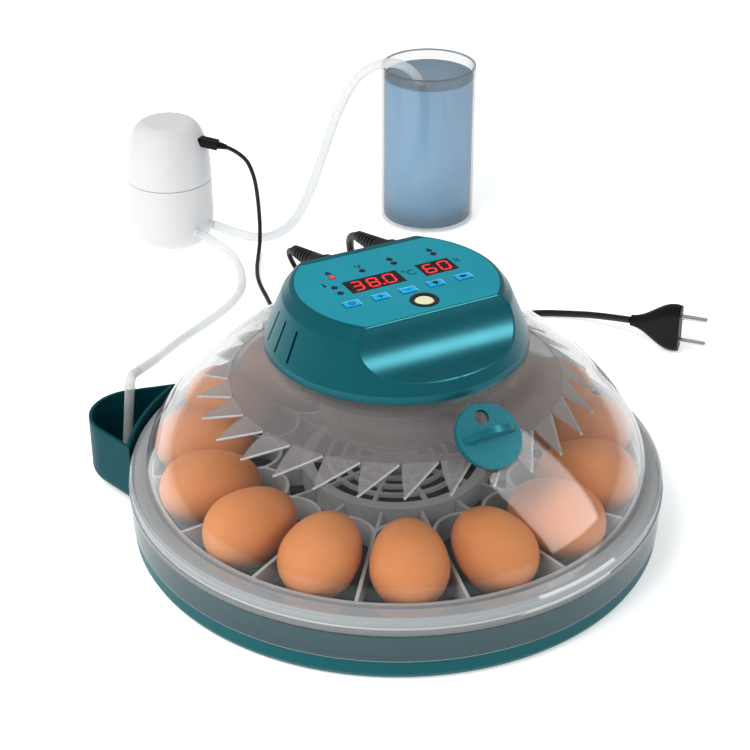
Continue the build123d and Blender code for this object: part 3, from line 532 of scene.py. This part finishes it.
# ---------------------------------------------------------------------------- cords and tubes
TUBE_OUT = [
    (-111.4, 143.3, 58.0),
    (-92.0, 169.5, 46.5),
    (-70.5, 206.0, 29.0),
    (-47.5, 241.0, 14.0),
    (-17.0, 271.0, 4.8),
    (12.0, 289.0, 4.2),
    (35.0, 310.0, 4.2),
    (47.0, 337.0, 4.4),
    (51.0, 363.0, 8.0),
    (43.5, 382.0, 14.0),
    (37.2, 398.1, 15.0),
]
TUBE_IN = [
    (54.0, 407.5, 15.0),
    (67.0, 395.0, 10.5),
    (84.0, 386.5, 4.8),
    (104.0, 388.0, 4.3),
    (126.0, 402.0, 7.5),
    (141.5, 408.5, 27.0),
    (150.5, 406.5, 52.0),
    (157.0, 399.0, 83.0),
    (166.0, 391.0, 112.0),
    (172.5, 384.5, 127.0),
    (182.5, 376.5, 137.5),
    (195.5, 369.0, 141.0),
    (207.0, 362.5, 136.5),
    (215.5, 359.5, 125.0),
    (220.5, 359.0, 108.0),
    (221.0, 359.5, 84.0),
    (216.0, 366.0, 56.0),
    (208.0, 376.0, 29.0),
    (203.5, 387.0, 8.5),
]
USB_LEAD = [
    (66.0, 402.0, 82.0),
    (77.5, 395.0, 76.0),
    (83.0, 389.5, 60.0),
    (84.5, 387.0, 41.0),
    (84.0, 383.5, 22.0),
    (80.5, 376.5, 7.5),
    (73.0, 364.0, 1.8),
    (62.5, 344.0, 1.7),
    (54.0, 322.0, 1.7),
    (48.0, 289.0, 1.7),
    (40.0, 256.0, 1.7),
    (36.0, 228.0, 1.8),
    (30.0, 204.0, 7.5),
    (23.0, 181.0, 25.0),
    (16.0, 165.0, 49.0),
    (9.0, 150.0, 75.0),
    (2.0, 130.0, 98.0),
    (-6.5, 121.0, 116.0),
    (-14.0, 116.0, 129.5),
    (-18.3, 108.0, 139.6),
    (-19.0, 97.0, 143.3),
]
MAINS_DROP = [
    (25.0, 97.0, 143.3),
    (26.0, 109.0, 139.0),
    (30.0, 119.0, 127.0),
    (36.0, 125.5, 110.0),
    (42.0, 134.0, 92.0),
    (47.0, 152.0, 69.0),
    (50.0, 167.0, 47.0),
    (56.0, 175.5, 26.0),
    (67.0, 178.5, 9.0),
    (85.0, 175.0, 3.0),
    (100.0, 170.0, 2.7),
    (112.6, 168.0, 2.7),
]
MAINS_RUN = [
    (122.6, 169.3, 8.3),
    (144.0, 175.5, 5.0),
    (168.0, 180.5, 2.8),
    (192.0, 183.0, 2.7),
    (216.0, 178.5, 2.7),
    (236.0, 164.5, 3.4),
    (247.0, 142.0, 10.0),
    (254.6, 112.7, 18.1),
]
OUTLET_D = 6.4
INLET_D = 7.2
USB_D = 3.2
MAINS_D = 5.0
TUBE_SIDES = 24
LEAD_SIDES = 16
COIL_AT = (112.6, 206.3)
COIL_TURNS = 4.04
COIL_WIDEST = 33.0
COIL_PITCH = 5.3
COIL_ENTRY = 38.3
COIL_LOW = 2.7
COIL_HIGH = 8.1
# Places along the coil, in turns from its start.
ENTERED = 0.17
INNERMOST = 2
CLIMB_FROM = 2.12
CLIMB_TURNS = 0.28
OUTWARDS_FROM = 2.4
LEAVING_FROM = 3.7


def coil_points():
    """Turns of the spare mains lead: inwards on the surface, then outwards on top of those turns."""
    steps_per_turn = 20
    total = round(COIL_TURNS * steps_per_turn)
    points = []
    inner = COIL_WIDEST - INNERMOST * COIL_PITCH
    for i in range(1, total):
        turn = COIL_TURNS * i / total
        if turn < INNERMOST:
            radius = COIL_WIDEST - COIL_PITCH * turn
        else:
            radius = inner + COIL_PITCH * max(0.0, turn - OUTWARDS_FROM)
        entering = max(0.0, 1 - turn / ENTERED)
        leaving = min(1.0, max(0.0, (turn - LEAVING_FROM) / (COIL_TURNS - LEAVING_FROM)))
        radius += (COIL_ENTRY - radius) * (entering + leaving**1.5)
        climb = min(1.0, max(0.0, (turn - CLIMB_FROM) / CLIMB_TURNS))
        height = COIL_LOW + (COIL_HIGH - COIL_LOW) * climb
        angle = math.radians(-90 + 360 * turn)
        x = COIL_AT[0] + radius * math.cos(angle)
        y = COIL_AT[1] + radius * math.sin(angle)
        points.append((x, y, height))
    return points


def route_curve(name, points):
    """Smooth open line with the route's points as its control points."""
    data = bpy.data.curves.new(name, "CURVE")
    data.dimensions = "3D"
    data.resolution_u = 10
    spline = data.splines.new("NURBS")
    spline.points.add(len(points) - 1)
    for point, place in zip(spline.points, points):
        point.co = (*(v * MM for v in place), 1)
    spline.order_u = 3
    spline.use_endpoint_u = True
    return data


def line_points(name, points):
    """Points read along the route's smooth line."""
    holder = bpy.data.objects.new(name, route_curve(name, points))
    bpy.context.scene.collection.objects.link(holder)
    bpy.context.view_layer.update()
    mesh = bpy.data.meshes.new_from_object(holder.evaluated_get(bpy.context.evaluated_depsgraph_get()))
    read = [v.co.copy() for v in mesh.vertices]
    bpy.data.objects.remove(holder)
    bpy.data.meshes.remove(mesh)
    return read


def sweep_mesh(name, path, radius, sides):
    """Round solid along a path, with its ends closed."""
    shape = bmesh.new()
    last = len(path) - 1
    along = [(path[min(i + 1, last)] - path[max(i - 1, 0)]).normalized() for i in range(len(path))]
    across = along[0].orthogonal().normalized()
    rings = []
    for place, way in zip(path, along):
        across = (across - way * across.dot(way)).normalized()
        other = way.cross(across)
        ring = []
        for i in range(sides):
            angle = 2 * math.pi * i / sides
            out = across * math.cos(angle) + other * math.sin(angle)
            ring.append(shape.verts.new(place + out * radius))
        rings.append(ring)
    for a, b in zip(rings, rings[1:]):
        join_rings(shape, a, b)
    for end in (0, -1):
        shape.faces.new(rings[end])
    return from_bmesh(name, shape)


def add_cords():
    """Both tubes and both leads. The leads join the lid to what stands still, and ride on no body."""
    outlet = line_points("outlet_line", TUBE_OUT[::-1])
    mesh = sweep_mesh("outlet_hose", outlet, OUTLET_D / 2 * MM, TUBE_SIDES)
    piece = add_mesh("outlet_hose", mesh, "base", "tube_clear")
    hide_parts("outlet_tube")
    inlet = line_points("inlet_line", TUBE_IN)
    mesh = sweep_mesh("inlet_hose", inlet, INLET_D / 2 * MM, TUBE_SIDES)
    piece = add_mesh("inlet_hose", mesh, "base", "tube_clear")
    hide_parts("inlet_tube")
    usb = line_points("usb_line", USB_LEAD[::-1])
    mesh = sweep_mesh("usb_cord", usb, USB_D / 2 * MM, LEAD_SIDES)
    piece = add_mesh("usb_cord", mesh, None, "cord_black")
    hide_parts("usb_lead")
    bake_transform(piece)
    mains = line_points("mains_line", MAINS_DROP + coil_points() + MAINS_RUN)
    mesh = sweep_mesh("mains_cord", mains, MAINS_D / 2 * MM, LEAD_SIDES)
    piece = add_mesh("mains_cord", mesh, None, "cord_black")
    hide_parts("mains_drop", "mains_coil", "mains_run")
    tie = cord_tie()
    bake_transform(piece)


# The strap round the coil's turns.
TIE_ANGLE = 60              # degrees round the coil
TIE_AT_R = 27.6
TIE_Z = 5.5
TIE_HALF_WIDTH = 2.5
TIE_REACH = 8.35            # half of its opening, across the turns
TIE_HALF_HEIGHT = 4.95
TIE_T = 0.5
TIE_SIDES = 40
TIE_SQUARENESS = 0.55       # 1 is an ellipse, 0 a rectangle


def cord_tie():
    """Strap round the coil's turns."""
    way = math.radians(TIE_ANGLE)
    out = Vector((math.cos(way), math.sin(way), 0))
    along = Vector((-math.sin(way), math.cos(way), 0))
    centre = Vector((COIL_AT[0] + TIE_AT_R * out.x, COIL_AT[1] + TIE_AT_R * out.y, TIE_Z)) * MM
    shape = bmesh.new()
    rings = []
    for side in (-TIE_HALF_WIDTH, TIE_HALF_WIDTH):
        for thick in (0.0, TIE_T):
            ring = []
            for i in range(TIE_SIDES):
                angle = 2 * math.pi * i / TIE_SIDES
                c, s = math.cos(angle), math.sin(angle)
                across = (TIE_REACH + thick) * math.copysign(abs(c) ** TIE_SQUARENESS, c)
                height = (TIE_HALF_HEIGHT + thick) * math.copysign(abs(s) ** TIE_SQUARENESS, s)
                place = out * across + Vector((0, 0, height)) + along * side
                ring.append(shape.verts.new(centre + place * MM))
            rings.append(ring)
    for a, b in ((0, 1), (1, 3), (3, 2), (2, 0)):
        join_rings(shape, rings[a], rings[b])
    return add_mesh("coil_tie", from_bmesh("coil_tie", shape), "base", "cord_black")


# ---------------------------------------------------------------------------- eggs
EGGS = 15
EGG_L = 60.6
EGG_R = 22.2
EGG_WIDEST = 6.5            # from the middle of its length, outwards
EGG_AT_R = 116.7
FIRST_EGG = 5.25            # degrees from +X
EGG_STATIONS = 48
EGG_SIDES = 72


def egg_mesh(name, angle, low):
    """Egg lying along the radius at an angle, fuller end outwards, its lowest point at a height."""
    half = EGG_L / 2
    widths = []
    for i in range(1, EGG_STATIONS):
        along = -half * math.cos(math.pi * i / EGG_STATIONS)
        reach = half - EGG_WIDEST if along > EGG_WIDEST else half + EGG_WIDEST
        widths.append((along, EGG_R * math.sqrt(1 - ((along - EGG_WIDEST) / reach) ** 2)))
    height = low + EGG_R
    shape = bmesh.new()
    rings = []
    for along, width in widths:
        ring = []
        for i in range(EGG_SIDES):
            turn = 2 * math.pi * i / EGG_SIDES
            place = (EGG_AT_R + along, width * math.cos(turn), height + width * math.sin(turn))
            ring.append(shape.verts.new(place))
        rings.append(ring)
    for a, b in zip(rings, rings[1:]):
        join_rings(shape, a, b)
    for ring, tip in ((rings[0], -half), (rings[-1], half)):
        end = shape.verts.new((EGG_AT_R + tip, 0, height))
        for i in range(EGG_SIDES):
            shape.faces.new((ring[i], ring[(i + 1) % EGG_SIDES], end))
    place = Matrix.Rotation(math.radians(angle), 4, "Z") @ Matrix.Scale(MM, 4)
    bmesh.ops.transform(shape, matrix=place, verts=shape.verts)
    return from_bmesh(name, shape)


def add_eggs():
    """Eggs in a ring on the tray, which turn with it."""
    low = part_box("eggs")[0].z / MM
    for i in range(EGGS):
        name = f"egg_{i + 1:02d}"
        angle = FIRST_EGG + 360 / EGGS * i
        piece = add_mesh(name, egg_mesh(name, angle, low), "egg_tray", "eggshell", smooth=180)
        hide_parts("eggs")


# ---------------------------------------------------------------------------- panel graphics
PANEL_Z = 162.22
FLAT_MARK_T = 0.06
NUMERAL_T = 0.08
KEYS_X = (-36.4, -18.1, -0.3, 17.7, 36.1)
KEY_Y = -14.3
KEY_W = 9.3
KEY_D = 6.0
KEY_RIM_OUT = 0.45
KEY_RIM_STROKE = 0.35
ICON_T = 0.05
ICON_ARM = 1.9              # half of a plus or minus sign's length
ICON_STROKE = 0.7
DIGIT_W = 7.2
DIGIT_H = 11.3
DIGIT_STROKE = 1.35
DIGIT_LEAN = 0.10           # sideways over upwards
SEGMENT_GAP = 0.15          # from a segment's end to the corner it points at
DIGITS_Y = 3.9
DIGITS = (("3", -23.3), ("8", -13.2), ("0", -2.6), ("6", 23.9), ("0", 33.6))
DECIMAL_POINT = (-8.3, -0.8, 0.8)
SEGMENTS = {"0": "abcdef", "3": "abgcd", "6": "acdefg", "8": "abcdefg"}
HEAT_LAMP = (-31.7, 19.7)
GLOW_R = 1.5
GLOW_LOW = 162.42
GLOW_HIGH = 162.46
NEARLY_ALL = 359.99         # degrees


def polar(x, y, radius, angle):
    """Point at an angle in radians round a centre."""
    return (x + radius * math.cos(angle), y + radius * math.sin(angle))


def bar(x0, y0, x1, y1, width):
    """Outline of a straight stroke."""
    way = Vector((x1 - x0, y1 - y0)).normalized()
    side = Vector((-way.y, way.x)) * width / 2
    start, end = Vector((x0, y0)), Vector((x1, y1))
    return [tuple(start - side), tuple(end - side), tuple(end + side), tuple(start + side)]


def disc(x, y, radius, sides=28, start=0, sweep=360):
    """Outline of a disc, or of the part that an arc cuts from it."""
    steps = [math.radians(start + sweep * i / sides) for i in range(sides if sweep == 360 else sides + 1)]
    return [polar(x, y, radius, angle) for angle in steps]


def ring_bars(x, y, radius, width, sides, start=0, sweep=NEARLY_ALL):
    """Ring or arc as short strokes. A sweep just short of 360 gives disc's points with the last one too."""
    marks = disc(x, y, radius, sides, start, sweep)
    return [bar(*a, *b, width) for a, b in zip(marks, marks[1:])]


def digit_outlines(char, x, y):
    """Seven-segment numeral centred on a point, slightly slanted."""
    w, h = DIGIT_W / 2 - DIGIT_STROKE / 2, DIGIT_H / 2 - DIGIT_STROKE / 2
    ends = {
        "a": (-w, h, w, h), "b": (w, h, w, 0), "c": (w, 0, w, -h), "d": (-w, -h, w, -h),
        "e": (-w, 0, -w, -h), "f": (-w, h, -w, 0), "g": (-w, 0, w, 0),
    }
    outlines = []
    for key in SEGMENTS[char]:
        x0, y0, x1, y1 = ends[key]
        a, b = Vector((x0, y0)), Vector((x1, y1))
        way = (b - a).normalized()
        side = Vector((-way.y, way.x)) * DIGIT_STROKE / 2
        a, b = a + way * SEGMENT_GAP, b - way * SEGMENT_GAP
        tip = way * DIGIT_STROKE / 2
        shape = [a, a + tip - side, b - tip - side, b, b - tip + side, a + tip + side]
        outlines.append([(x + p.x + DIGIT_LEAN * p.y, y + p.y) for p in shape])
    return outlines


def add_flat_print_or_painted_edge(name, outlines, material, body="lid", slot_name="label_blue", low=PANEL_Z, high=PANEL_Z + FLAT_MARK_T):
    """Flat print on the panel or on a key, or a painted highlight or painted shade stroke by a key's edge."""
    return add_mesh(name, prism_mesh(name, outlines, low, high), body, slot_name, material, smooth=0)


def unit_marks():
    """Degree sign and C beside the temperature, per cent sign beside the humidity."""
    degree = ring_bars(8.4, 7.6, 1.0, 0.5, 14)
    letter = ring_bars(12.4, 4.6, 2.5, 0.75, 18, 45, 270)
    percent = [bar(41.4, 4.2, 45.0, 8.6, 0.5)]
    percent += ring_bars(42.3, 7.9, 0.75, 0.4, 12) + ring_bars(44.2, 4.9, 0.75, 0.4, 12)
    return degree + letter + percent


def lamp_marks():
    """Plain icons beside the lamps: flame, three-bladed fan, egg, drop and thermometer."""
    flame = [
        (-31.7, 28.2), (-30.4, 26.4), (-29.9, 24.7), (-30.5, 23.5), (-31.2, 23.3), (-31.3, 24.3), (-31.7, 24.8),
        (-32.1, 24.3), (-32.3, 23.3), (-33.2, 23.8), (-33.5, 25.0), (-32.9, 26.2), (-32.3, 26.9),
    ]
    blade = ((0, 0.2), (12, 0.8), (42, 1.0), (66, 0.85), (60, 0.35))
    fan = [[polar(-12.2, 25.4, 2.5 * k, math.radians(turn + a)) for a, k in blade] for turn in (0, 120, 240)]
    turns = [2 * math.pi * i / 26 for i in range(26)]
    egg = [(8.7 + 1.9 * math.cos(t) * (1 - 0.15 * math.sin(t)), 25.4 + 2.4 * math.sin(t)) for t in turns]
    drop = disc(35.3, 24.6, 1.8, 20, -210, 240) + [(35.3, 28.2)]
    thermometer = [disc(-40.4, 11.6, 1.0, 16), bar(-40.4, 11.6, -40.4, 15.6, 0.9)]
    return [flame, *fan, egg, drop, *thermometer]


def add_key_rims():
    """Pale strokes along each key's far and right edge as painted highlight, dark ones along its near and left edge
    as painted shade.
    """
    light, dark = [], []
    for x in KEYS_X:
        left, right = x - KEY_W / 2 - KEY_RIM_OUT, x + KEY_W / 2 + KEY_RIM_OUT
        near, far = KEY_Y - KEY_D / 2 - KEY_RIM_OUT, KEY_Y + KEY_D / 2 + KEY_RIM_OUT
        light += [bar(left, far, right, far, KEY_RIM_STROKE), bar(right, near, right, far, KEY_RIM_STROKE)]
        dark += [bar(left, near, right, near, KEY_RIM_STROKE), bar(left, near, left, far, KEY_RIM_STROKE)]
    # Painted highlight on the far and right edges, painted shade on the near and left edges.
    add_flat_print_or_painted_edge("key_highlight_rims", light, HIGHLIGHT_PALE)
    add_flat_print_or_painted_edge("key_shade_rims", dark, PRINT_AND_SHADE_BLACK)


def add_key_icons():
    """One icon on each key, which goes down with it."""
    set_x, plus_x, minus_x, lamp_x, mode_x = KEYS_X
    bulb_y = KEY_Y + 0.6
    box_x = mode_x - 0.2
    rays = [
        bar(*polar(lamp_x, bulb_y, 2.1, math.radians(d)), *polar(lamp_x, bulb_y, 2.7, math.radians(d)), 0.4)
        for d in (0, 45, 90, 135, 180)
    ]
    corners = ((-1.5, -1.2), (1.5, -1.2), (2.1, -0.6), (2.1, 0.6), (1.5, 1.2), (-1.5, 1.2), (-2.1, 0.6), (-2.1, -0.6))
    box = [(box_x + x, KEY_Y + y) for x, y in corners]
    icons = {
        "button_set": ring_bars(set_x, KEY_Y, 1.7, 0.55, 20) + [disc(set_x, KEY_Y, 0.6, 14)],
        "button_plus": [
            bar(plus_x - ICON_ARM, KEY_Y, plus_x + ICON_ARM, KEY_Y, ICON_STROKE),
            bar(plus_x, KEY_Y - ICON_ARM, plus_x, KEY_Y + ICON_ARM, ICON_STROKE),
        ],
        "button_minus": [bar(minus_x - ICON_ARM, KEY_Y, minus_x + ICON_ARM, KEY_Y, ICON_STROKE)],
        "button_lamp": [
            disc(lamp_x, bulb_y, 1.7, 20),
            bar(lamp_x - 0.7, KEY_Y - 1.6, lamp_x + 0.7, KEY_Y - 1.6, 1.1),
            *rays,
        ],
        "button_mode": [box],
    }
    key_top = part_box("button_set")[1].z / MM
    for node, outlines in icons.items():
        add_flat_print_or_painted_edge(node + "_icon", outlines, PRINT_AND_SHADE_BLACK, node, "button_blue", key_top, key_top + ICON_T)


def add_panel():
    """Numerals, marks and icons on the control panel, painted highlight and shade strokes by the keys, and the lit
    lamp.
    """
    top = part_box("temperature_display")[1].z / MM
    digits = [disc(*DECIMAL_POINT)]
    for char, x in DIGITS:
        digits += digit_outlines(char, x, DIGITS_Y)
    add_flat_print_or_painted_edge("numerals", digits, DIGIT_RED, slot_name="display_black", low=top, high=top + NUMERAL_T)
    add_flat_print_or_painted_edge("panel_marks", unit_marks() + lamp_marks(), PRINT_AND_SHADE_BLACK)
    add_key_rims()
    add_key_icons()
    profile = [(0, GLOW_LOW), (GLOW_R, GLOW_LOW), (GLOW_R, GLOW_HIGH), (0, GLOW_HIGH)]
    glow = lathe_mesh("heat_lamp_glow", profile, 24, HEAT_LAMP)
    add_mesh("heat_lamp_glow", glow, "lid", "lamp_clear", LIT_RED)


# ---------------------------------------------------------------------------- vanes and water
BLADES = 29
FIRST_BLADE = -116.5        # degrees from +X
VANE_GAP = 0.6              # degrees between one vane's root and the next
VANE_TIP = (118.2, 89.6)    # radius and height
RIM = (98.5, 99.9)          # radius and height of the vanes' roots
BULGE = 1.6
BEAD_R = 0.8
BEAD_SIDES = 10
FLAP_T = 0.9
FLAP_STEPS = 10
FLAP_ACROSS = (0, 0.33, 0.67, 1)
CUP_WALL = 1.7
CUP_WATER_GAP = 0.05
WATER_FLOOR = 3.3


def add_vanes():
    """Guide vanes: each a thin flap with a pale bead along its stiff lower edge, a painted highlight line."""
    for i in range(BLADES):
        near = math.radians(FIRST_BLADE + 360 / BLADES * i)
        far = near + math.radians(360 / BLADES - VANE_GAP)
        tip = Vector((*polar(0, 0, VANE_TIP[0], near), VANE_TIP[1]))
        low = Vector((*polar(0, 0, RIM[0], near), RIM[1]))
        high = Vector((*polar(0, 0, RIM[0], far), RIM[1]))
        edge = high - tip
        meet = tip + edge * 0.05
        bulge = (low + meet) / 2 + (low + meet - high - tip).normalized() * BULGE
        name = f"vane_{i + 1:02d}"
        flap = add_mesh(name, flap_mesh(name, low, bulge, meet, high), "lid", "clear_guide", VANE)
        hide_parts("guide_vanes")
        # The bead along the vane's edge, pale as a painted highlight line.
        name = f"vane_highlight_rail_{i + 1:02d}"
        path = [(tip + edge * 0.03) * MM, (tip + edge * 0.5) * MM, (high - edge * 0.03) * MM]
        add_mesh(name, sweep_mesh(name, path, BEAD_R * MM, BEAD_SIDES), "lid", "clear_guide", HIGHLIGHT_RAIL)


def flap_mesh(name, low, bulge, meet, high):
    """Thin plate between a bowed edge, from low past bulge to meet, and the straight edge from high to meet."""
    normal = (high - low).cross(meet - low).normalized() * FLAP_T
    shape = bmesh.new()
    last = len(FLAP_ACROSS) - 1
    rims = []
    for lift in (Vector(), normal):
        grid = []
        for i in range(FLAP_STEPS):
            t = i / FLAP_STEPS
            bowed = low * (1 - t) ** 2 + bulge * 2 * t * (1 - t) + meet * t**2
            straight = high * (1 - t) + meet * t
            places = [(bowed * (1 - s) + straight * s - lift) * MM for s in FLAP_ACROSS]
            grid.append([shape.verts.new(place) for place in places])
        end = shape.verts.new((meet - lift) * MM)
        for a, b in zip(grid, grid[1:]):
            for k in range(last):
                shape.faces.new((a[k], a[k + 1], b[k + 1], b[k]))
        for k in range(last):
            shape.faces.new((grid[-1][k], grid[-1][k + 1], end))
        rims.append([row[0] for row in grid] + [end] + [row[last] for row in grid[::-1]] + grid[0][last - 1:0:-1])
    join_rings(shape, *rims)
    return from_bmesh(name, shape)


def add_water():
    """Water in the cup, with its edge drawn up the wall a little."""
    cup_low, cup_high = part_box("measuring_cup")
    centre = ((cup_low.x + cup_high.x) / 2 / MM, (cup_low.y + cup_high.y) / 2 / MM)
    radius = (cup_high.x - cup_low.x) / 2 / MM - CUP_WALL - CUP_WATER_GAP
    level = cup_high.z / MM - WATER_BELOW_RIM
    profile = [
        (0, WATER_FLOOR), (radius, WATER_FLOOR), (radius, level + 0.5), (radius - 0.8, level + 0.1),
        (radius - 2.2, level), (0, level),
    ]
    add_mesh("cup_water", lathe_mesh("cup_water", profile, 128, centre), "base", "clear_cup", WATER)


# ---------------------------------------------------------------------------- finishing
def dress_nodes():
    """Gives every CAD node the material of its slot or its own, smooth-shaded."""
    slots = {part["node"]: part["material_slot"] for part in frame["record"]["subparts"]}
    for name, node in NODES.items():
        node.data.materials.clear()
        node.data.materials.append(NODE_MATERIALS.get(name, MATERIALS[slots[name]]))
        node.data.shade_smooth()
        node.data.set_sharp_from_angle(angle=math.radians(CREASE))


add_camera()
dress_nodes()
add_cords()
add_studio()
add_eggs()
add_panel()
add_vanes()
add_water()
